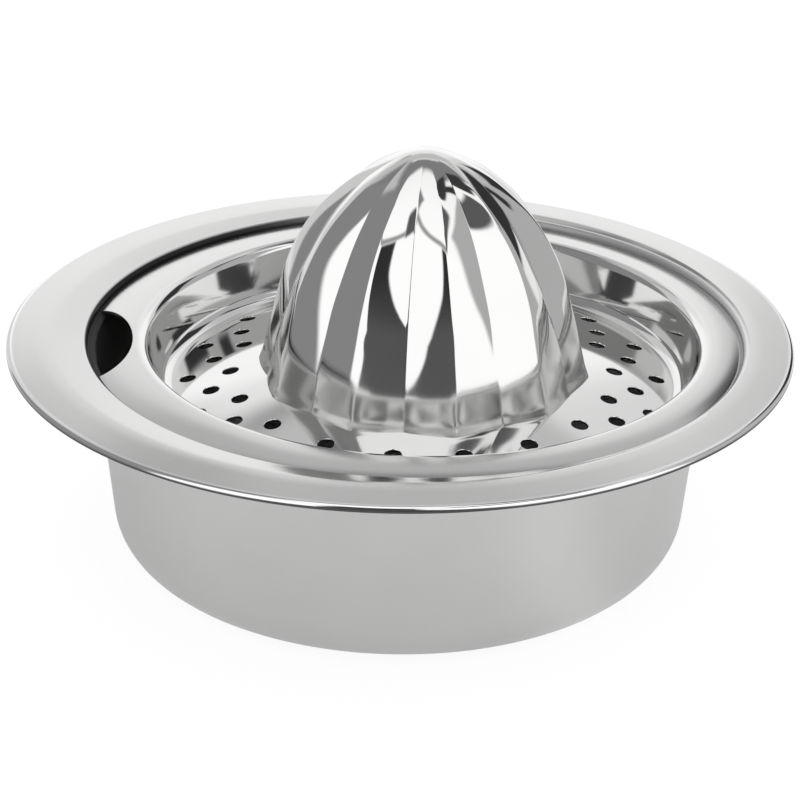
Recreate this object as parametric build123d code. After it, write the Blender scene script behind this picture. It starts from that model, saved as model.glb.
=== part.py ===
from build123d import *
import math
import os

os.makedirs("parts", exist_ok=True)

# Hand citrus press of pressed stainless sheet.
# A bowl with a broad brim catches the juice. A loose insert lies in the opening of
# its brim: a strainer with a pour notch and a perforated floor, and a hollow fluted
# reamer that stands on that floor.
# Lengths are in millimetres. The origin is the middle of the bowl's base, +Z is up
# and -X is the pouring side.

# Sheet, clearances and the overrun of every cut
sheet = 0.5
ring_clearance = 0.5
well_gap = 0.8
overrun = 2.0

# Brim of the bowl
brim_height = 43.7
brim_diameter = 150.0
brim_width = 7.0
brim_land = 0.8
brim_droop = 0.5
brim_bend = 37.5
lip_height = 1.0
lip_round = 0.8

# Opening of the bowl, set off away from the pouring side
opening_offset = 2.9
opening_round = 1.6
seat_drop = 2.4
seat_width = 1.5
seat_round = 0.4

# Body of the bowl
body_taper = 5.3
base_round = 8.9

# Ring of the strainer
ring_land = 0.9
ring_rise = 0.9
crest_width = 1.9
crest_round = 2.1
notch_width = 32.0
notch_depth = 8.2
notch_turn = 5.5

# Well and floor of the strainer, set off further than the opening
well_offset = 4.4
well_depth = 10.1
well_draft = 15.7
well_round = 2.6
floor_slope = 11.3
seam_land = 2.7

# Strainer holes, in rows between the reamer's foot and the well's wall
hole_diameter = 3.2
hole_count = 18
hole_turn = 1.5
hole_row_shares = (0.275, 0.5, 0.732)

# Fluted reamer
reamer_diameter = 57.1
reamer_height = 44.4
foot_flare = 3.6
foot_flare_height = 9.5
flute_count = 10
flute_depth_share = 0.095
flute_start_height = 1.6
ridge_turn = -7.0
ogive_rise_power = 2.85
ogive_round_power = 1.45
section_shares = (0.0, 0.03, 0.07, 0.12, 0.19, 0.3, 0.42, 0.54, 0.65, 0.75, 0.83, 0.9, 0.95, 0.98, 0.995)

# Bowl places
brim_radius = brim_diameter / 2
land_radius = brim_radius - brim_width
opening_radius = land_radius - brim_land - opening_round - opening_offset
seat_z = brim_height - seat_drop
seat_inner_radius = opening_radius - opening_offset - seat_width
body_radius = seat_inner_radius + sheet

# Strainer places
ring_radius = opening_radius - ring_clearance
ring_land_z = seat_z + sheet
crest_z = ring_land_z + ring_rise
well_radius = seat_inner_radius - well_offset - well_gap
crest_radius = well_radius + crest_round + crest_width
well_bottom_radius = well_radius - well_depth * math.tan(math.radians(well_draft))
well_bottom_z = crest_z - crest_round / 2 - well_depth

# Reamer places
foot_radius = reamer_diameter / 2 + foot_flare
strainer_hole_radius = reamer_diameter / 2 - seam_land


def floor_z(radius):
    """Height of the strainer floor's upper face at a distance from the well's axis."""
    return well_bottom_z + (well_bottom_radius - radius) * math.tan(math.radians(floor_slope))


def turn_between(before, after):
    """Signed turn of a path from one direction to the next, left turns positive."""
    return math.radians(before.get_signed_angle(after, Vector(0, 0, 1)))


def sheet_strip(points, bends, side):
    """Section of a bent sheet whose one skin runs through the points.

    The other skin lies a sheet's thickness to the left (side 1) or right (side -1).
    """
    skin = [Vector(*point) for point in points]
    runs = [(end - start).normalized() for start, end in zip(skin, skin[1:])]
    normals = [Vector(-run.Y, run.X) * side for run in runs]
    back = [skin[0] + normals[0] * sheet]
    back_bends = []
    for corner, before, after, normal, bend in zip(skin[1:], runs, runs[1:], normals, bends):
        turn = turn_between(before, after)
        back.append(corner + normal * sheet - before * (side * sheet * math.tan(turn / 2)))
        back_bends.append(bend - side * sheet * math.copysign(1, turn))
    back.append(skin[-1] + normals[-1] * sheet)
    front_edge = FilletPolyline(*skin, radius=bends)
    back_edge = FilletPolyline(*back, radius=back_bends)
    ends = [Line(skin[0], back[0]), Line(skin[-1], back[-1])]
    return Plane.XZ * make_face([front_edge, back_edge, *ends])


def spun(section, offset_x=0.0):
    """Solid of revolution of a section about an upright axis set off along X."""
    return Pos(offset_x, 0, 0) * revolve(section, Axis.Z, 360)


def plug(radius, offset_x, low_z, high_z):
    """Upright cylinder between two heights."""
    return Pos(offset_x, 0, low_z) * Cylinder(
        radius, high_z - low_z, align=(Align.CENTER, Align.CENTER, Align.MIN)
    )


def oblique_band(inner_radius, inner_offset, inner_z, outer_radius, outer_offset, outer_z):
    """Conical sheet between two level circles that don't share one axis."""
    deep = Pos(outer_offset, 0, outer_z - overrun) * Circle(outer_radius)
    low = Pos(outer_offset, 0, outer_z) * Circle(outer_radius)
    high = Pos(inner_offset, 0, inner_z) * Circle(inner_radius)
    cap = loft([deep, low, high], ruled=True)
    band = cap - Pos(0, 0, -sheet) * cap
    band -= plug(outer_radius + overrun, outer_offset, outer_z - 2 * overrun, outer_z - sheet)
    return band - plug(inner_radius, inner_offset, inner_z - overrun, inner_z + overrun)


def make_bowl():
    """Drawn bowl: base, tapered wall, seat for the insert, opening, brim and lip."""
    under_seat_z = seat_z - sheet
    base_corner = body_radius - under_seat_z * math.tan(math.radians(body_taper))
    throat_start = opening_radius - seat_width / 2
    throat_end = land_radius - opening_offset

    body = spun(sheet_strip(
        [(0, 0), (base_corner, 0), (body_radius, under_seat_z), (brim_radius, under_seat_z)],
        [base_round, seat_round],
        1,
    ))
    seat_trim = plug(brim_radius + overrun, 0, under_seat_z - sheet, brim_height)
    seat_trim -= plug(throat_start, opening_offset, under_seat_z - overrun, brim_height + overrun)
    body -= seat_trim

    throat = spun(sheet_strip(
        [
            (throat_start, seat_z),
            (opening_radius, seat_z),
            (opening_radius, brim_height),
            (throat_end, brim_height),
        ],
        [seat_round, opening_round],
        -1,
    ), opening_offset)

    edge_z = brim_height - brim_droop
    brim = spun(sheet_strip(
        [
            (opening_radius - opening_offset, brim_height),
            (land_radius, brim_height),
            (brim_radius, edge_z),
            (brim_radius, edge_z - lip_height),
        ],
        [brim_bend, lip_round],
        -1,
    ))
    brim -= plug(throat_end, opening_offset, seat_z, brim_height + overrun)
    return body + throat + brim


def make_notch_cutter():
    """Oval cutter across the rim of the ring at the pouring side."""
    oval = Ellipse(notch_depth, notch_width / 2)
    cutter = extrude(oval, amount=seat_drop + 2 * overrun)
    at_rim = Pos(-ring_radius, 0, seat_z - overrun) * cutter
    return Pos(opening_offset, 0, 0) * Rot(0, 0, notch_turn) * at_rim


def make_strainer():
    """Pressed strainer: ring with a pour notch, well and perforated sloping floor."""
    land_inner = ring_radius - ring_land
    pan = spun(sheet_strip(
        [
            (strainer_hole_radius, floor_z(strainer_hole_radius)),
            (well_bottom_radius, well_bottom_z),
            (well_radius, crest_z),
            (crest_radius, crest_z),
        ],
        [well_round, crest_round],
        -1,
    ), well_offset)
    band = oblique_band(crest_radius, well_offset, crest_z, land_inner, opening_offset, ring_land_z)
    land = plug(ring_radius, opening_offset, seat_z, ring_land_z)
    land -= plug(land_inner, opening_offset, seat_z - overrun, ring_land_z + overrun)
    strainer = pan + band + land - make_notch_cutter()

    floor_width = well_bottom_radius - foot_radius
    step = 360 / hole_count
    for row, share in enumerate(hole_row_shares):
        start = hole_turn + step / 2 * (row % 2)
        drill = plug(hole_diameter / 2, foot_radius + share * floor_width, seat_z - 2 * well_depth, seat_z)
        for index in range(hole_count):
            strainer -= Pos(well_offset, 0, 0) * Rot(0, 0, start + index * step) * drill
    return strainer


def ridge_radius(share):
    """Reach of the reamer's ridges at a share of its height, with the flared foot."""
    dome = reamer_diameter / 2 * (1 - share ** ogive_rise_power) ** (1 / ogive_round_power)
    return dome + foot_flare * math.exp(-share * reamer_height / foot_flare_height)


def groove_share(share):
    """Reach of the grooves as a part of the ridges' reach: all of it at the round foot."""
    return 1 - flute_depth_share * (1 - math.exp(-share * reamer_height / flute_start_height))


def star_section(share, inset, height):
    """Level outline of the reamer with a ridge and a groove for each flute."""
    ridge = ridge_radius(share) - inset
    corners = []
    for index in range(2 * flute_count):
        reach = ridge * groove_share(share) if index % 2 else ridge
        angle = math.radians(ridge_turn + index * 180 / flute_count)
        corners.append((reach * math.cos(angle), reach * math.sin(angle)))
    return Pos(0, 0, height) * make_face(Polyline(*corners, close=True))


def fluted_ogive(inset):
    """Solid fluted ogive on its axis, drawn in and lowered by the inset."""
    foot_z = floor_z(foot_radius)
    sections = [star_section(0.0, inset, foot_z - overrun)]
    for share in section_shares:
        sections.append(star_section(share, inset, foot_z + share * reamer_height - inset))
    return loft(sections)


def make_reamer():
    """Hollow fluted reamer, trimmed to stand on the strainer's floor."""
    below_floor = Polyline(
        (0, floor_z(0)),
        (well_bottom_radius, well_bottom_z),
        (well_bottom_radius, well_bottom_z - overrun),
        (0, well_bottom_z - overrun),
        close=True,
    )
    shell = fluted_ogive(0.0) - fluted_ogive(sheet)
    shell -= revolve(Plane.XZ * make_face(below_floor), Axis.Z, 360)
    return Pos(well_offset, 0, 0) * shell


export_step(make_bowl(), "parts/juice_bowl.step")
export_step(make_strainer(), "parts/strainer.step")
export_step(make_reamer(), "parts/reamer.step")
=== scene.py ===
import math

import bmesh
import bpy
from mathutils import Matrix, Vector


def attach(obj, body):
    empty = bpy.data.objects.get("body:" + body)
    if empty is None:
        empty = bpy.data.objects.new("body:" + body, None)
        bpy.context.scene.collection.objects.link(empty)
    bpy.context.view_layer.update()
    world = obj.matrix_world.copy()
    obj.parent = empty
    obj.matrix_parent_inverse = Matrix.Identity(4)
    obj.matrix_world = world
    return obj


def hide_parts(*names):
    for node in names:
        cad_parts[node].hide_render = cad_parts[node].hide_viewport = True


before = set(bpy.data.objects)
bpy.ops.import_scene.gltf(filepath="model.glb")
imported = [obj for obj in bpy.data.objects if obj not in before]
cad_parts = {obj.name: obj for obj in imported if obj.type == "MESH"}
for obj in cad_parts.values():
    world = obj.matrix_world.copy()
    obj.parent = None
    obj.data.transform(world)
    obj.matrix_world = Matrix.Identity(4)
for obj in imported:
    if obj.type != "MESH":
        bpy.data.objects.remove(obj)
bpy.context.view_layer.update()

# Sizes in millimetres, as in the part's source unless a comment says otherwise
MM = 0.001
SHEET = 0.5

# Bowl. The radius is a hair under the solid's, so that the finer sheet stays inside it.
# The opening has a smaller round than the solid, and the brim dips gently towards it.
BRIM_HEIGHT = 43.7
BRIM_RADIUS = 74.97
LAND_RADIUS = 68.0
BRIM_DROOP = 0.5
BRIM_BEND = 37.5
LIP_HEIGHT = 1.0
LIP_ROUND = 0.8
OPENING_RADIUS = 62.7
OPENING_OFFSET = 2.9
OPENING_ROUND = 1.0
OPENING_DIP = 0.55
DIP_CURVE = 1.2
DIP_MARGIN = 0.1
SEAT_Z = 41.3
SEAT_INNER_RADIUS = 58.3
SEAT_ROUND = 0.4
BODY_TAPER = 5.3
BASE_ROUND = 8.9
BASE_PINHOLE = 0.4
PINHOLE_MARGIN = 0.05

# Ring of the strainer, with the fall of its crown and its pour notch
RING_RADIUS = 62.2
RING_LAND_Z = 41.8
CREST_Z = 42.7
CREST_ROUND = 2.1
CROWN_SHARES = (0.04, 0.12, 0.22, 0.32, 0.42, 0.52, 0.62, 0.72, 0.81, 0.89, 0.95)
CROWN_CURVE = 2.2
CREST_EASE = 0.05
NOTCH_WIDTH = 32.0
NOTCH_DEPTH = 8.2
NOTCH_TURN = 5.5
NOTCH_PUNCH_HEIGHT = 8
# Broken outer edge of the ring: distance inside its radius, height over the land and the seat
RING_EDGE_TOP = ((0.08, -0.05), (0, -0.15))
RING_EDGE_FOOT = ((0, 0.08), (0.08, 0))

# Well and floor of the strainer
WELL_OFFSET = 4.4
WELL_RADIUS = 53.1
WELL_BOTTOM_RADIUS = 50.26
WELL_BOTTOM_Z = 31.55
WELL_ROUND = 2.6
FLOOR_SLOPE = 11.3
HOLE_DIAMETER = 3.2
HOLE_COUNT = 18
HOLE_TURN = 1.5
HOLE_ROW_SHARES = (0.275, 0.5, 0.732)
# Widening of a drain hole's mouth against the height over the floor
HOLE_MOUTH = ((0, -2.0), (0, -0.16), (0.03, -0.06), (0.11, 0), (0.3, 0.08), (0.6, 0.1), (0.6, 0.4))

# Reamer. Its profile was measured again, and is a little inside the solid's.
FOOT_RADIUS = 32.15
FOOT_SINK = 0.08
SEAM_RADIUS = 25.85
REAMER_RADIUS = 29.0
REAMER_TOP = 44.2
FLUTE_COUNT = 10
RIDGE_TURN = -7.0
# Section halfway up: groove as a share of the reach, round of the groove and swell of the petals
FULL_DEPTH = 0.12
VALLEY_ROUND = 0.05
PETAL_SWELL = 0.5
# Reach of the ridges against the height above the foot
RIDGE_PROFILE = (
    (0, 32.1), (0.6, 31.9), (2, 31.4), (4, 30.9), (8, 30.0), (14.5, 28.4),
    (19.8, 27.0), (24.6, 25.05), (29, 22.6), (33, 19.5), (36.5, 15.85), (39.2, 12.5),
    (41.2, 9.2), (42.5, 6.6), (43.5, 4.2), (44.0, 2.1), (44.2, 0),
)
SQUARED_PROFILE = [(height, reach * reach) for height, reach in RIDGE_PROFILE]
# Depth of the grooves as a share of the ridges' reach, against the height above the foot
GROOVE_DEPTHS = (
    (0, 0.051), (2, 0.049), (5, 0.047), (8, 0.050), (18, 0.081),
    (27, 0.115), (35, 0.10), (41, 0.06), (44.2, 0.0),
)
# Softness of the ridges against the height above the foot
RIDGE_SOFTNESS = ((0, 0.16), (4, 0.28), (12, 0.38), (25, 0.25), (44.2, 0.2))

# Fineness of the meshes: steps round each piece, degrees per ring in a bend, parts of a run
# between two axes, and the rings that hold the shading of a long and a short run. Points that
# are closer than the merge distance are one.
BOWL_STEPS = 288
STRAINER_STEPS = 360
NOTCH_STEPS = 128
HOLE_STEPS = 32
BEND_STEP = 8
BLEND_PARTS = 14
LONG_RUN = 3.0
SHORT_RUN = 0.8
HOLDING_RING = 0.15
MERGE_DISTANCE = 0.002
# Angles of the reamer's columns in half a flute, closer at its ridge and groove
COLUMN_SHARES = (0.0, 0.02, 0.045, 0.075, 0.12, 0.2, 0.35, 0.55, 0.75, 0.88, 0.945, 0.98, 1.0)
# Shares of the reamer's height between its levels: at the foot, above it and at the tip
TIP_SHARE = 0.9996
TIP_MARGIN = 0.0006
FOOT_STEP = 0.004
MIDDLE_STEP = 0.02
MIDDLE_START = 0.12
TIP_STEP = 0.0009
TIP_GROWTH = 0.22
# Cone that the reamer's flutes are pressed out of, and the height below its top that is closed
BLANK_RADIUS = 40
BLANK_TAPER = 20
TOP_MARGIN = 0.0001
# Sharpest angles that are still shaded smooth, in degrees
SHEET_ANGLE = 35
FLUTE_ANGLE = 60
# Turn in radians that still counts as straight
STRAIGHT = 1e-6


def floor_z(radius):
    """Height of the strainer floor's upper face at a distance from the well's axis."""
    return WELL_BOTTOM_Z + (WELL_BOTTOM_RADIUS - radius) * math.tan(math.radians(FLOOR_SLOPE))


# Sheet sections


def turn_between(before, after):
    """Signed turn of a path from one direction to the next, left turns positive."""
    return math.atan2(before.x * after.y - before.y * after.x, before.dot(after))


def arc_points(corner, before, after, bend):
    """Points of the round between two runs, from its start to its end."""
    turn = turn_between(before, after)
    if bend <= 0 or abs(turn) < STRAIGHT:
        return [corner]
    start = corner - before * (bend * math.tan(abs(turn) / 2))
    side = Vector((-before.y, before.x)) * math.copysign(1, turn)
    centre = start + side * bend
    count = max(5, math.ceil(abs(turn) / math.radians(BEND_STEP)))
    points = []
    for step in range(count + 1):
        spoke = Matrix.Rotation(turn * step / count, 2) @ -side
        points.append(centre + spoke * bend)
    return points


def run_shares(here, there):
    """Shares of the straight run between two bends at which it gets a ring."""
    gap = (there - here).length
    if here.x != there.x:
        return [part / BLEND_PARTS for part in range(1, BLEND_PARTS)]
    if gap <= SHORT_RUN:
        return []
    near = min(HOLDING_RING, gap / 6) / gap
    return [near, 0.25, 0.5, 0.75, 1 - near] if gap > LONG_RUN else [near, 1 - near]


def skin_rings(corners, bends):
    """Rings (centre, radius, height) of one skin through its corners, rounded by the bends."""
    flat = [Vector((radius, height)) for _, radius, height in corners]
    runs = [(b - a).normalized() for a, b in zip(flat, flat[1:])]
    chains = [[flat[0]]]
    for corner, before, after, bend in zip(flat[1:], runs, runs[1:], bends):
        chains.append(arc_points(corner, before, after, bend))
    chains.append([flat[-1]])
    rings = []
    for (offset, _, _), chain in zip(corners, chains):
        start = Vector((offset, *chain[0]))
        if rings:
            here = Vector(rings[-1])
            rings += [tuple(here.lerp(start, share)) for share in run_shares(here, start)]
        rings += [(offset, point.x, point.y) for point in chain]
    return rings


def sheet_rings(corners, bends, side):
    """Rings of both skins of a bent sheet: the drawn one, and the one that lies to its side."""
    flat = [Vector((radius, height)) for _, radius, height in corners]
    runs = [(b - a).normalized() for a, b in zip(flat, flat[1:])]
    normals = [Vector((-run.y, run.x)) * side for run in runs]
    back = [flat[0] + normals[0] * SHEET]
    back_bends = []
    for corner, before, after, normal, bend in zip(flat[1:], runs, runs[1:], normals, bends):
        turn = turn_between(before, after)
        back.append(corner + normal * SHEET - before * (side * SHEET * math.tan(turn / 2)))
        back_bends.append(max(0.0, bend - side * SHEET * math.copysign(1, turn)))
    back.append(flat[-1] + normals[-1] * SHEET)
    back = [(offset, *point) for (offset, _, _), point in zip(corners, back)]
    return skin_rings(corners, bends), skin_rings(back, back_bends)


# Modelling by hand


def pick(piece):
    """Leaves only this piece selected, and active."""
    bpy.ops.object.select_all(action="DESELECT")
    piece.select_set(True)
    bpy.context.view_layer.objects.active = piece


def open_piece(name):
    """New empty piece at the origin, in edit mode."""
    piece = bpy.data.objects.new(name, bpy.data.meshes.new(name))
    bpy.context.scene.collection.objects.link(piece)
    pick(piece)
    bpy.ops.object.mode_set(mode="EDIT")
    bpy.ops.mesh.select_mode(type="VERT")
    return piece


def pull_rings(rings, steps):
    """Circle at the first ring, pulled through all the others by extrude, move and resize."""
    centre, radius, height = rings[0]
    bpy.ops.mesh.primitive_circle_add(
        vertices=steps, radius=radius * MM, location=(centre * MM, 0, height * MM)
    )
    for new_centre, new_radius, new_height in rings[1:]:
        move = ((new_centre - centre) * MM, 0, (new_height - height) * MM)
        bpy.ops.mesh.extrude_edges_move(TRANSFORM_OT_translate={"value": move})
        share = new_radius / radius
        bpy.ops.transform.resize(
            value=(share, share, 1), center_override=(new_centre * MM, 0, new_height * MM)
        )
        centre, radius, height = new_centre, new_radius, new_height


def merge_where(piece, chosen):
    """Merges the vertices whose place the test chooses into one."""
    bpy.ops.mesh.select_all(action="DESELECT")
    mesh = bmesh.from_edit_mesh(piece.data)
    for vert in mesh.verts:
        vert.select = chosen(vert.co)
    mesh.select_flush(True)
    bmesh.update_edit_mesh(piece.data)
    bpy.ops.mesh.merge(type="CENTER")


def close_piece(piece, angle):
    """Back to object mode, faces outwards and smooth but for the sheet's edges."""
    bpy.ops.mesh.select_all(action="SELECT")
    bpy.ops.mesh.remove_doubles(threshold=MERGE_DISTANCE * MM)
    bpy.ops.mesh.normals_make_consistent(inside=False)
    bpy.ops.object.mode_set(mode="OBJECT")
    bpy.ops.object.shade_smooth_by_angle(angle=math.radians(angle))


def cut(piece, cutter):
    """Cuts the piece with a closed cutter, which is then thrown away."""
    pick(piece)
    modifier = piece.modifiers.new("cut", "BOOLEAN")
    modifier.operation = "DIFFERENCE"
    modifier.solver = "EXACT"
    modifier.object = cutter
    bpy.ops.object.modifier_apply(modifier=modifier.name)
    bpy.data.objects.remove(cutter)


def shifted(x, z=0.0):
    """Move along X and Z in millimetres."""
    return Matrix.Translation((x * MM, 0, z * MM))


def turned(degrees, axis="Z"):
    """Turn about an axis through the origin."""
    return Matrix.Rotation(math.radians(degrees), 4, axis)


# Bowl


def dipped(rings):
    """Rings of the brim lowered gently towards the opening, before its round."""
    round_start = BRIM_HEIGHT - SHEET - OPENING_ROUND - DIP_MARGIN
    lowered = []
    for offset, radius, height in rings:
        if height > round_start:
            height -= OPENING_DIP * (offset / OPENING_OFFSET) ** DIP_CURVE
        lowered.append((offset, radius, height))
    return lowered


def make_bowl():
    """Drawn bowl with its base, wall, seat, opening, brim and lip as one bent sheet."""
    under_seat = SEAT_Z - SHEET
    body_radius = SEAT_INNER_RADIUS + SHEET
    base_corner = body_radius - under_seat * math.tan(math.radians(BODY_TAPER))
    edge_z = BRIM_HEIGHT - BRIM_DROOP
    corners = [
        (0, BASE_PINHOLE, 0),
        (0, base_corner, 0),
        (0, body_radius, under_seat),
        (OPENING_OFFSET, OPENING_RADIUS + SHEET, under_seat),
        (OPENING_OFFSET, OPENING_RADIUS + SHEET, BRIM_HEIGHT - SHEET),
        (0, LAND_RADIUS, BRIM_HEIGHT - SHEET),
        (0, BRIM_RADIUS - SHEET, edge_z - SHEET),
        (0, BRIM_RADIUS - SHEET, edge_z - LIP_HEIGHT),
    ]
    bends = [
        BASE_ROUND, SEAT_ROUND, SEAT_ROUND + SHEET, OPENING_ROUND - SHEET, BRIM_BEND, LIP_ROUND - SHEET
    ]
    under, top = sheet_rings(corners, bends, 1)
    piece = open_piece("bowl_sheet")
    pull_rings(dipped(under) + dipped(top)[::-1], BOWL_STEPS)
    reach = (BASE_PINHOLE + PINHOLE_MARGIN) * MM
    middle = SHEET / 2 * MM
    merge_where(piece, lambda place: place.xy.length < reach and place.z < middle)
    merge_where(piece, lambda place: place.xy.length < reach and middle <= place.z)
    close_piece(piece, SHEET_ANGLE)
    return piece


# Strainer


def ring_crown():
    """Rings over the convex ring of the strainer, from its crest to its outer edge."""
    crown = []
    crest_radius = WELL_RADIUS + CREST_ROUND
    for share in CROWN_SHARES:
        radius = crest_radius + share * (RING_RADIUS - crest_radius)
        drop = (CREST_Z - RING_LAND_Z) * share ** CROWN_CURVE
        offset = WELL_OFFSET + (OPENING_OFFSET - WELL_OFFSET) * share
        crown.append((offset, radius, CREST_Z - drop))
    return crown


def make_strainer():
    """Strainer: floor, well and convex ring as one sheet, then the notch and the holes."""
    corners = [
        (WELL_OFFSET, SEAM_RADIUS, floor_z(SEAM_RADIUS)),
        (WELL_OFFSET, WELL_BOTTOM_RADIUS, WELL_BOTTOM_Z),
        (WELL_OFFSET, WELL_RADIUS, CREST_Z),
        (WELL_OFFSET, WELL_RADIUS + CREST_ROUND, CREST_Z),
    ]
    top, under = sheet_rings(corners, [WELL_ROUND, CREST_ROUND - CREST_EASE], -1)
    crown = ring_crown()
    edge = []
    for height, breaks in ((RING_LAND_Z, RING_EDGE_TOP), (SEAT_Z, RING_EDGE_FOOT)):
        edge += [(OPENING_OFFSET, RING_RADIUS - inside, height + up) for inside, up in breaks]
    crown_under = [(offset, radius, height - SHEET) for offset, radius, height in crown]
    piece = open_piece("strainer_sheet")
    pull_rings(top + crown + edge + crown_under[::-1] + under[::-1] + top[:1], STRAINER_STEPS)
    close_piece(piece, SHEET_ANGLE)
    cut(piece, notch_cutter())
    cut(piece, hole_cutters())
    pick(piece)
    bpy.ops.object.shade_smooth_by_angle(angle=math.radians(SHEET_ANGLE))
    return piece


def notch_cutter():
    """Oval punch across the ring at the pouring side."""
    piece = open_piece("notch_punch")
    bpy.ops.mesh.primitive_cylinder_add(
        vertices=NOTCH_STEPS, radius=MM, depth=NOTCH_PUNCH_HEIGHT * MM, location=(0, 0, 0)
    )
    bpy.ops.transform.resize(value=(NOTCH_DEPTH, NOTCH_WIDTH / 2, 1), center_override=(0, 0, 0))
    bpy.ops.transform.translate(value=(-RING_RADIUS * MM, 0, RING_LAND_Z * MM))
    bpy.ops.object.mode_set(mode="OBJECT")
    piece.data.transform(shifted(OPENING_OFFSET) @ turned(NOTCH_TURN))
    return piece


def hole_cutters():
    """Punches of all the drain holes, each square to the floor with a softened mouth."""
    first = open_piece("hole_punches")
    pull_rings([(0, HOLE_DIAMETER / 2 + wider, height) for wider, height in HOLE_MOUTH], HOLE_STEPS)
    bpy.ops.mesh.select_all(action="DESELECT")
    bpy.ops.mesh.select_non_manifold()
    bpy.ops.mesh.edge_face_add()
    bpy.ops.mesh.select_all(action="SELECT")
    bpy.ops.mesh.normals_make_consistent(inside=False)
    bpy.ops.object.mode_set(mode="OBJECT")
    floor_width = WELL_BOTTOM_RADIUS - FOOT_RADIUS
    step = 360 / HOLE_COUNT
    punches = []
    for row, share in enumerate(HOLE_ROW_SHARES):
        place = FOOT_RADIUS + share * floor_width
        on_floor = shifted(place, floor_z(place)) @ turned(FLOOR_SLOPE, "Y")
        for index in range(HOLE_COUNT):
            angle = HOLE_TURN + step * index + step / 2 * (row % 2)
            punch = first.copy()
            punch.data = first.data.copy()
            bpy.context.scene.collection.objects.link(punch)
            punch.data.transform(shifted(WELL_OFFSET) @ turned(angle) @ on_floor)
            punches.append(punch)
    bpy.data.objects.remove(first)
    pick(punches[0])
    for punch in punches:
        punch.select_set(True)
    bpy.ops.object.join()
    return punches[0]


# Reamer


def smooth_run(knots, place):
    """Value at a place along a smooth run through (place, value) knots."""
    slopes = [(b[1] - a[1]) / (b[0] - a[0]) for a, b in zip(knots, knots[1:])]
    leans = [slopes[0]] + [(a + b) / 2 for a, b in zip(slopes, slopes[1:])] + [slopes[-1]]
    for index, (low, high) in enumerate(zip(knots, knots[1:])):
        if place <= high[0]:
            break
    run = high[0] - low[0]
    t = min(1.0, max(0.0, (place - low[0]) / run))
    value = low[1] * (2 * t ** 3 - 3 * t * t + 1) + high[1] * (3 * t * t - 2 * t ** 3)
    lean = leans[index] * (t ** 3 - 2 * t * t + t) + leans[index + 1] * (t ** 3 - t * t)
    return value + run * lean


def petal_shape(angle, softness):
    """Depth at an angle from a ridge, from 0 at the ridge to 1 in the groove.

    Each petal is a straight chord between ridge and groove with a slight swell. The softness
    rounds the ridge, and a small round fills the groove.
    """
    half = math.pi / FLUTE_COUNT
    valley = 1 - FULL_DEPTH
    tip = Vector((1, 0))
    root = Vector((math.cos(half), math.sin(half))) * valley
    normal = Vector((root.y - tip.y, tip.x - root.x)).normalized()
    lean = math.atan2(normal.y, normal.x)

    def petal(turn):
        swell = PETAL_SWELL / REAMER_RADIUS * (1 - (2 * turn / half - 1) ** 2)
        return normal.x / math.cos(turn - lean) + swell

    here, over_ridge, over_root = petal(angle), petal(-angle), petal(2 * half - angle)
    ridge_blend = softness / REAMER_RADIUS
    root_blend = VALLEY_ROUND / REAMER_RADIUS
    low = math.exp((1 - here) / ridge_blend) + math.exp((1 - over_ridge) / ridge_blend)
    low = 1 - ridge_blend * math.log(low)
    high = math.exp((low - valley) / root_blend) + math.exp((over_root - valley) / root_blend)
    return (1 - valley - root_blend * math.log(high)) / FULL_DEPTH


def level_shares():
    """Shares of the reamer's height at its levels, closer at the foot and at the tip."""
    shares = [0.0]
    while shares[-1] < TIP_SHARE - TIP_MARGIN:
        here = shares[-1]
        step = FOOT_STEP + MIDDLE_STEP * min(1.0, here / MIDDLE_START)
        step = min(step, TIP_STEP + (TIP_SHARE - here) * TIP_GROWTH)
        shares.append(min(TIP_SHARE, here + step))
    return shares


def press_flutes(piece, columns, foot_z):
    """Moves the columns of a plain cone into ridges, petals and grooves."""
    half = math.pi / FLUTE_COUNT
    half_columns = columns // (2 * FLUTE_COUNT)
    mesh = bmesh.from_edit_mesh(piece.data)
    for vert in mesh.verts:
        x, y = vert.co.x / MM - WELL_OFFSET, vert.co.y / MM
        column = round(math.atan2(y, x) / (2 * math.pi) * columns) % columns
        flute, place = divmod(column, 2 * half_columns)
        if place < half_columns:
            angle = COLUMN_SHARES[place] * half
        else:
            angle = (2 - COLUMN_SHARES[2 * half_columns - place]) * half
        away = min(angle, 2 * half - angle)
        up = max(0.0, vert.co.z / MM - foot_z)
        reach = math.sqrt(max(0.0, smooth_run(SQUARED_PROFILE, up)))
        softness = smooth_run(RIDGE_SOFTNESS, up)
        reach *= 1 - smooth_run(GROOVE_DEPTHS, up) * petal_shape(away, softness)
        turn = math.radians(RIDGE_TURN) + flute * 2 * half + angle
        vert.co.x = (WELL_OFFSET + reach * math.cos(turn)) * MM
        vert.co.y = reach * math.sin(turn) * MM
    bmesh.update_edit_mesh(piece.data)
    return max(vert.co.z for vert in mesh.verts)


def make_reamer():
    """Fluted reamer: a cone pulled up level by level, pressed into flutes, then thickened."""
    foot_z = floor_z(RIDGE_PROFILE[0][1]) - FOOT_SINK
    rings = []
    for share in level_shares():
        rings.append((WELL_OFFSET, BLANK_RADIUS - BLANK_TAPER * share, foot_z + share * REAMER_TOP))
    columns = 2 * FLUTE_COUNT * (len(COLUMN_SHARES) - 1)
    piece = open_piece("reamer_sheet")
    pull_rings(rings, columns)
    top = press_flutes(piece, columns, foot_z)
    merge_where(piece, lambda place: place.z > top - TOP_MARGIN * MM)
    close_piece(piece, FLUTE_ANGLE)
    wall = piece.modifiers.new("wall", "SOLIDIFY")
    wall.thickness = SHEET * MM
    wall.offset = -1
    wall.use_even_offset = True
    bpy.ops.object.modifier_apply(modifier=wall.name)
    bpy.ops.object.shade_smooth_by_angle(angle=math.radians(FLUTE_ANGLE))
    return piece


# Materials


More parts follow.
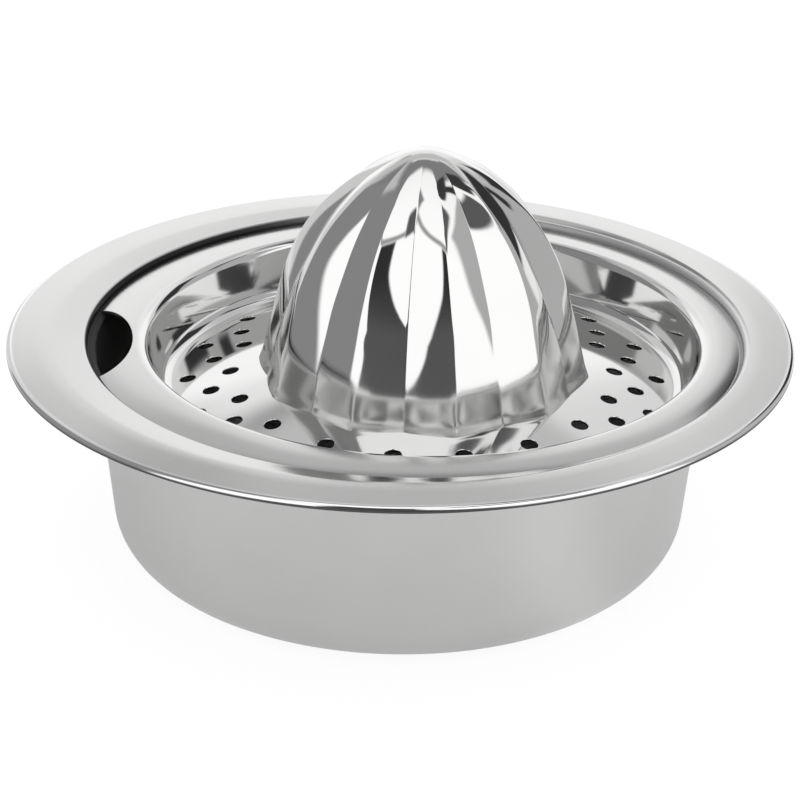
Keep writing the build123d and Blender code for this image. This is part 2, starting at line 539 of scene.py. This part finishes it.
class Signal:
    """Output of a shader node that ordinary sums work on."""

    def __init__(self, tree, socket):
        self.tree = tree
        self.socket = socket

    def math(self, operation, *others):
        """One Math node on this signal and any others."""
        node = self.tree.nodes.new("ShaderNodeMath")
        node.operation = operation
        for index, value in enumerate((self, *others)):
            plug(self.tree, value, node.inputs[index])
        return Signal(self.tree, node.outputs[0])

    def __add__(self, other):
        return self.math("ADD", other)

    __radd__ = __add__

    def __mul__(self, other):
        return self.math("MULTIPLY", other)

    __rmul__ = __mul__

    def __sub__(self, other):
        return self.math("SUBTRACT", other)

    def __neg__(self):
        return self * -1.0

    def __rsub__(self, other):
        return (-self).math("ADD", other)

    def __truediv__(self, other):
        return self.math("DIVIDE", other)

    def __pow__(self, other):
        return self.math("POWER", other)


def plug(tree, value, socket):
    """Links a signal to a socket, or sets the socket to a plain value."""
    if isinstance(value, Signal):
        tree.links.new(value.socket, socket)
    else:
        socket.default_value = value


class Finish:
    """One material with its shader, and one way to add any other node.

    The place is in metres for the patterns, and x, y and z are in millimetres for the sums.
    """

    def __init__(self, name, **constants):
        self.material = bpy.data.materials.new(name)
        self.material.use_nodes = True
        self.tree = self.material.node_tree
        self.shader = self.tree.nodes["Principled BSDF"]
        for socket, value in constants.items():
            self.shader.inputs[socket.replace("_", " ")].default_value = value
        self.place = self.node("ShaderNodeTexCoord", output="Object")
        parts = self.tree.nodes.new("ShaderNodeSeparateXYZ")
        plug(self.tree, self.place, parts.inputs[0])
        self.x, self.y, self.z = (Signal(self.tree, output) / MM for output in parts.outputs)

    def node(self, kind, settings=None, output=0, **inputs):
        """Any node, with its settings and its sockets by name, or by number after a dash."""
        node = self.tree.nodes.new(kind)
        for name, value in (settings or {}).items():
            setattr(node, name, value)
        for name, value in inputs.items():
            key = int(name[1:]) if name[0] == "_" else name.replace("_", " ")
            plug(self.tree, value, node.inputs[key])
        return Signal(self.tree, node.outputs[output])

    def noise(self, scale, detail=2.0, rough=0.5, vector=None):
        return self.node(
            "ShaderNodeTexNoise",
            Vector=vector or self.place,
            Scale=scale,
            Detail=detail,
            Roughness=rough,
        )

    def stretch(self, x, y, z):
        return self.node("ShaderNodeMapping", Vector=self.place, Scale=(x, y, z))

    def ramp(self, value, low, high, low_out=0.0, high_out=1.0):
        """Smooth step of a value between two places."""
        return self.node(
            "ShaderNodeMapRange",
            {"interpolation_type": "SMOOTHSTEP"},
            Value=value, From_Min=low, From_Max=high, To_Min=low_out, To_Max=high_out,
        )

    def fall(self, value, low, high):
        """Smooth step of a value from 1 down to 0."""
        return self.ramp(value, low, high, 1.0, 0.0)

    def window(self, value, low, high, soft):
        """1 between two places with soft edges, and 0 outside."""
        return self.ramp(value, low - soft, low + soft) * self.fall(value, high - soft, high + soft)

    def radius_about(self, offset):
        """Distance from an upright axis set off along X."""
        x = self.x - offset
        return (x * x + self.y * self.y) ** 0.5

    def grey(self, tone):
        """Grey colour of a tone that varies."""
        return self.node("ShaderNodeCombineXYZ", X=tone, Y=tone, Z=tone)

    def mix_colour(self, share, first, second):
        node = self.tree.nodes.new("ShaderNodeMix")
        node.data_type = "RGBA"
        plug(self.tree, share, node.inputs[0])
        plug(self.tree, first, node.inputs[6])
        plug(self.tree, second, node.inputs[7])
        return Signal(self.tree, node.outputs[2])

    def bump(self, height, strength, distance):
        return self.node("ShaderNodeBump", Height=height, Strength=strength, Distance=distance * MM)

    def drive(self, **signals):
        """Links signals to the shader and gives the finished material."""
        for socket, value in signals.items():
            plug(self.tree, value, self.shader.inputs[socket.replace("_", " ")])
        return self.material


# Fades of the finishes in millimetres, each from its start to its end. By height: the brim,
# the lip's painted shadow under its painted highlight, the throat's foot and top, and the reamer's
# foot.
BRIM_FADE = (41.2, 42.0)
LIP_SHADE_TO_HIGHLIGHT_FADE = (42.5, 42.8)
THROAT_FOOT_FADE = (40.5, 41.1)
THROAT_TOP_FADE = (42.8, 43.1)
REAMER_FOOT_FADE = (41.0, 48.0)
# By distance from the axis: the lip, the throat and the strainer's ring
LIP_FADE = (73.6, 74.2)
THROAT_FADE = (63.1, 63.5)
RING_FADE = (53.5, 55.5)
# Along X: where the throat's painted shade gets less dark, and where it clears
THROAT_PAINTED_SHADE_FADE = (-34, -4)
THROAT_SHADE_CLEAR_FADE = (12, 40)


def steel(tone):
    """Colour of steel of a tone, slightly warm."""
    return (tone, tone, tone - 0.005, 1)


def satin_steel():
    """Satin bowl: fine turned grain on the brim, cloudy wall, polished lip with a painted highlight
    over a painted shadow at its lower edge, and painted shade in the throat.
    """
    finish = Finish("satin_steel_finish", Metallic=1.0)
    away = finish.radius_about(0)
    grain = finish.noise(9.0, 2.0, 0.6, finish.node("ShaderNodeCombineXYZ", X=away, Y=finish.z))
    cloud = finish.noise(38.0, 3.0, 0.55)
    fine = finish.noise(900.0, 2.0, 0.6)
    on_brim = finish.ramp(finish.z, *BRIM_FADE)
    on_lip = finish.ramp(away, *LIP_FADE)
    # Mask of the throat: rougher steel, and painted shade
    in_throat = finish.fall(finish.radius_about(OPENING_OFFSET), *THROAT_FADE)
    in_throat = in_throat * finish.ramp(finish.z, *THROAT_FOOT_FADE)
    in_throat = in_throat * finish.fall(finish.z, *THROAT_TOP_FADE)

    rough = 0.27 - 0.13 * on_brim + 0.05 * cloud + 0.04 * fine + 0.02 * grain * on_brim
    rough = rough * (1 - 0.5 * on_lip) + 0.3 * in_throat
    # Painted shadow at the lip's lower edge under a painted highlight, and painted shade in the
    # throat, darkest at the pouring side
    lip_painted_shade_and_highlight = finish.ramp(finish.z, *LIP_SHADE_TO_HIGHLIGHT_FADE, 0.1, 0.86)
    # Painted shade in the throat, darkest at the pouring side
    throat_painted_shade = finish.ramp(finish.x, *THROAT_PAINTED_SHADE_FADE, 0.05, 0.28)
    throat_painted_shade = throat_painted_shade + 0.36 * finish.ramp(finish.x, *THROAT_SHADE_CLEAR_FADE)
    tone = finish.mix_colour(cloud, steel(0.62), steel(0.69))
    # Painted highlight on the lip over a painted shadow at its lower edge
    tone = finish.mix_colour(on_lip, tone, finish.grey(lip_painted_shade_and_highlight))
    # Painted shade over the throat
    tone = finish.mix_colour(in_throat, tone, finish.grey(throat_painted_shade))
    relief = finish.bump(grain * on_brim + 0.6 * fine, 0.12, 0.012)
    return finish.drive(Base_Color=tone, Roughness=rough, Normal=relief)


def polished_steel():
    """Polished strainer: brighter well, softer ring, faint wiping marks."""
    finish = Finish("polished_steel_finish", Metallic=1.0)
    on_ring = finish.ramp(finish.radius_about(WELL_OFFSET), *RING_FADE)
    cloud = finish.noise(45.0, 3.0, 0.55)
    wipe = finish.noise(60.0, 3.0, 0.6, finish.stretch(1.0, 14.0, 1.0))
    rough = 0.05 + 0.15 * on_ring + 0.05 * cloud * wipe
    bright = finish.mix_colour(cloud, steel(0.73), steel(0.80))
    tone = finish.mix_colour(on_ring, bright, steel(0.68))
    relief = finish.bump(finish.noise(160.0), 0.05, 0.05)
    return finish.drive(Base_Color=tone, Roughness=rough, Normal=relief)


def mirror_steel():
    """Mirror reamer: clean reflections with a slight press waviness and a softer foot."""
    finish = Finish("mirror_steel_finish", Metallic=1.0)
    cloud = finish.noise(50.0, 3.0, 0.55)
    rough = 0.03 + 0.03 * cloud + 0.08 * finish.fall(finish.z, *REAMER_FOOT_FADE)
    tone = finish.mix_colour(cloud, steel(0.76), steel(0.80))
    relief = finish.bump(finish.noise(120.0), 0.04, 0.05)
    return finish.drive(Base_Color=tone, Roughness=rough, Normal=relief)


# Studio

WHITE = (1, 1, 1, 1)
# Tent: its directions are told from a point at eye height. Its cloth gets brighter from the
# back to the front, between two leans in degrees.
TENT_RADIUS = 400
TENT_EYE = 50
TENT_FADE = (-75, 40)
TENT_SHADES = (0.98, 1.25)
# Panels of the light tent: azimuth span, lower and upper edge and soft edge in degrees, and
# grey. Azimuth 0 is the viewer's side and positive is to the viewer's right. The white strip
# overhead lies over the walls and corners, and under all the others.
TENT_PANELS = (
    ("left_wall", -130, -64, -10, 95, 3, 0.28),
    ("right_wall", 78, 128, -10, 95, 3, 0.50),
    ("left_corner", -190, -129, 33, 95, 4, 0.32),
    ("right_corner", 127, 190, 34, 95, 4, 0.50),
    ("left_side", -156, -128, -5, 36, 3, 0.72),
    ("right_side", 147, 158, -5, 36, 3, 0.85),
    ("left_glow", -190, -153, -2, 24, 3, 1.15),
    ("right_glow", 160, 190, 2, 24, 3, 1.15),
    ("left_back", -190, -125, 37, 52, 4, 0.62),
    ("right_back", 125, 190, 37, 52, 4, 0.62),
    ("left_high", -190, -115, 54, 74, 3, 0.25),
    ("right_high", 125, 190, 54, 74, 3, 0.25),
    ("right_stand", 111, 119, 30, 62, 1.5, 0.04),
    ("dark_stand", 128, 150, 2, 34, 2, 0.04),
    ("lintel", -64, 18, 54.5, 58.5, 1.6, 0.38),
    ("stand_head", 98, 132, 60, 80, 2, 0.05),
    ("right_beam", 18, 88, 53, 67, 2, 0.12),
)
# The dark doorway widens towards the ground: its edges above and below, in degrees, the
# elevations between which each edge moves, and its grey below and above
DOORWAY_TOP = 54
DOORWAY_LEFT = (-20, -38)
DOORWAY_LEFT_SPAN = (-3, 8)
DOORWAY_RIGHT = (6, 28)
DOORWAY_RIGHT_SPAN = (-4, 36)
DOORWAY_GREY = (0.11, 0.035)
DOORWAY_GREY_SPAN = (4, 36)
DOORWAY_SOFT = 1.5
# The white strip overhead: its edges to the left and right in degrees from upright
STRIP_LEFT = -16.0
STRIP_RIGHT = 42.0
STRIP_SOFT = 2
# Whites of the table and the mat: the share that glows, and how strongly
TABLE_WHITE = (0.8, 1.1)
MAT_WHITE = (0.5, 0.80)
# The mat under the tent: the place, half width and strength of its brighter streak and of its
# darker end, by azimuth in degrees
MAT_STREAK = (42.0, 12.0, 0.28)
MAT_END = (-100.0, 30.0, -0.2)
# Camera: pitch and roll, distance and shift from the point it aims at, and the focal length
# in pixels of a picture that is this wide
CAMERA_PITCH = 25.106
CAMERA_ROLL = 0.743
CAMERA_AWAY = 500.0
CAMERA_RIGHT = 0.09
CAMERA_DOWN = 13.01
AIM_HEIGHT = 42.3
FOCAL_PIXELS = 2604.5
PICTURE_PIXELS = 800
SENSOR = 36
DEGREES = 180 / math.pi


def azimuth_of(finish):
    """Azimuth in degrees, 0 at the viewer's side and positive to the viewer's right."""
    return finish.x.math("ARCTAN2", -finish.y) * DEGREES


def tent_grey(finish):
    """Grey of the tent by direction: bright cloth, panels, and the doorway over them all."""
    x, y, up = finish.x, finish.y, finish.z - TENT_EYE
    azimuth = azimuth_of(finish)
    elevation = up.math("ARCTAN2", (x * x + y * y) ** 0.5) * DEGREES
    lean = x.math("ARCTAN2", up) * DEGREES
    overhead = finish.window(lean, STRIP_LEFT, STRIP_RIGHT, STRIP_SOFT)
    towards = (-y).math("ARCTAN2", up) * DEGREES
    grey = finish.ramp(towards, *TENT_FADE, *TENT_SHADES)
    for name, left, right, low, high, soft, shade in TENT_PANELS:
        mask = finish.window(azimuth, left, right, soft) * finish.window(elevation, low, high, soft)
        if name.endswith(("wall", "corner")):
            mask = mask * (1 - overhead)
        grey = grey * (1 - mask) + mask * shade
    left = finish.ramp(elevation, *DOORWAY_LEFT_SPAN, *DOORWAY_LEFT[::-1])
    right = finish.ramp(elevation, *DOORWAY_RIGHT_SPAN, *DOORWAY_RIGHT[::-1])
    mask = finish.ramp(azimuth - left, -DOORWAY_SOFT, DOORWAY_SOFT)
    mask = mask * finish.fall(azimuth - right, -DOORWAY_SOFT, DOORWAY_SOFT)
    mask = mask * finish.fall(elevation - DOORWAY_TOP, -DOORWAY_SOFT, DOORWAY_SOFT)
    return grey * (1 - mask) + mask * finish.ramp(elevation, *DOORWAY_GREY_SPAN, *DOORWAY_GREY)


def mat_grey(finish):
    """Grey of the mat: a soft brighter streak to the viewer's right and a darker left end."""
    azimuth = azimuth_of(finish)
    grey = 1.0
    for middle, width, gain in (MAT_STREAK, MAT_END):
        away = (azimuth - middle) / width
        grey = grey + gain * (-(away * away)).math("EXPONENT")
    return grey


def add_disc(name, radius, height, material):
    """Level round sheet of staging on the table's middle."""
    bpy.ops.object.select_all(action="DESELECT")
    bpy.ops.mesh.primitive_circle_add(
        vertices=96, radius=radius * MM, fill_type="NGON", location=(0, 0, height * MM)
    )
    disc = bpy.context.view_layer.objects.active
    disc.name = name
    disc.data.materials.append(material)
    return disc


def make_tent():
    """Light tent that only reflections see: grey walls, a white strip, a dark doorway, a mat."""
    bpy.ops.object.select_all(action="DESELECT")
    bpy.ops.mesh.primitive_uv_sphere_add(
        segments=96, ring_count=48, radius=TENT_RADIUS * MM, location=(0, 0, 0)
    )
    tent = bpy.context.view_layer.objects.active
    tent.name = "light_tent"
    bpy.ops.object.mode_set(mode="EDIT")
    bpy.ops.mesh.select_all(action="SELECT")
    bpy.ops.mesh.bisect(plane_co=(0, 0, MM), plane_no=(0, 0, 1), clear_inner=True)
    bpy.ops.object.mode_set(mode="OBJECT")
    finish = Finish("tent_cloth")
    glow = finish.node("ShaderNodeEmission", Color=tent_grey(finish), Strength=1.0)
    plug(finish.tree, glow, finish.tree.nodes["Material Output"].inputs[0])
    tent.data.materials.append(finish.material)
    mat = add_disc("tent_mat", TENT_RADIUS, 0.2, lit_white("mat_cloth", *MAT_WHITE, mat_grey))
    for part in (tent, mat):
        part.visible_camera = False
        part.visible_diffuse = False
        part.visible_shadow = False


def lit_white(name, share, strength, shade=None):
    """Matt white that also glows by a share, so that it keeps only part of a shadow."""
    finish = Finish(name, Roughness=0.9, Specular_IOR_Level=0.1, Base_Color=(0.92, 0.92, 0.92, 1))
    colour = shade(finish) if shade else WHITE
    glow = finish.node("ShaderNodeEmission", Color=colour, Strength=strength)
    both = finish.node(
        "ShaderNodeMixShader",
        _0=share * shown_rays(finish.tree),
        _1=Signal(finish.tree, finish.shader.outputs[0]),
        _2=glow,
    )
    plug(finish.tree, both, finish.tree.nodes["Material Output"].inputs[0])
    return finish.material


def shown_rays(tree):
    """1 for the rays that show the background: camera, glossy and transmission rays."""
    path = tree.nodes.new("ShaderNodeLightPath")
    seen = Signal(tree, path.outputs["Is Camera Ray"])
    glossy = Signal(tree, path.outputs["Is Glossy Ray"])
    clear = Signal(tree, path.outputs["Is Transmission Ray"])
    return seen.math("MAXIMUM", glossy).math("MAXIMUM", clear)


def make_floor():
    """Plain white table, pale enough to run into the background, that keeps the shadow."""
    add_disc("table_top", 3000, 0, lit_white("table_white", *TABLE_WHITE))


def light_room():
    """Even white surround, seen white by the camera and in the steel."""
    world = bpy.data.worlds.new("white_surround")
    bpy.context.scene.world = world
    world.use_nodes = True
    tree = world.node_tree
    tree.nodes.clear()
    ground = tree.nodes.new("ShaderNodeBackground")
    ground.inputs["Color"].default_value = WHITE
    plug(tree, 0.92 + 0.08 * shown_rays(tree), ground.inputs["Strength"])
    out = tree.nodes.new("ShaderNodeOutputWorld")
    tree.links.new(ground.outputs[0], out.inputs[0])


def make_camera():
    """Camera placed where the photograph was taken from."""
    pitch, roll = math.radians(CAMERA_PITCH), math.radians(CAMERA_ROLL)
    ahead = Vector((0, math.cos(pitch), -math.sin(pitch)))
    right = Vector((1, 0, 0))
    up = right.cross(ahead)
    turned_right = right * math.cos(roll) + up * math.sin(roll)
    turned_up = up * math.cos(roll) - right * math.sin(roll)
    place = Vector((0, 0, AIM_HEIGHT)) - CAMERA_AWAY * ahead + CAMERA_RIGHT * right - CAMERA_DOWN * up
    data = bpy.data.cameras.new("photo_camera")
    data.sensor_width = SENSOR
    data.lens = FOCAL_PIXELS * SENSOR / PICTURE_PIXELS
    data.clip_start = 0.01
    data.clip_end = 50
    camera = bpy.data.objects.new("photo_camera", data)
    bpy.context.scene.collection.objects.link(camera)
    basis = Matrix((turned_right, turned_up, -ahead)).transposed().to_4x4()
    camera.matrix_world = Matrix.Translation(place * MM) @ basis
    bpy.context.scene.camera = camera


def dress(piece, node, body, material):
    """Gives a finished piece its material and its body, hides the CAD node that it stands for and
    gives that node the same material.
    """
    piece.data.materials.clear()
    piece.data.materials.append(material)
    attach(piece, body)
    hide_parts(node)
    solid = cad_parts[node]
    if not solid.data.materials:
        solid.data.materials.append(material)
    solid.material_slots[0].material = material


make_camera()
dress(make_bowl(), "juice_bowl", "bowl", satin_steel())
dress(make_strainer(), "strainer", "insert", polished_steel())
dress(make_reamer(), "reamer", "insert", mirror_steel())

make_floor()
light_room()
make_tent()

bpy.context.scene.view_settings.view_transform = "Standard"
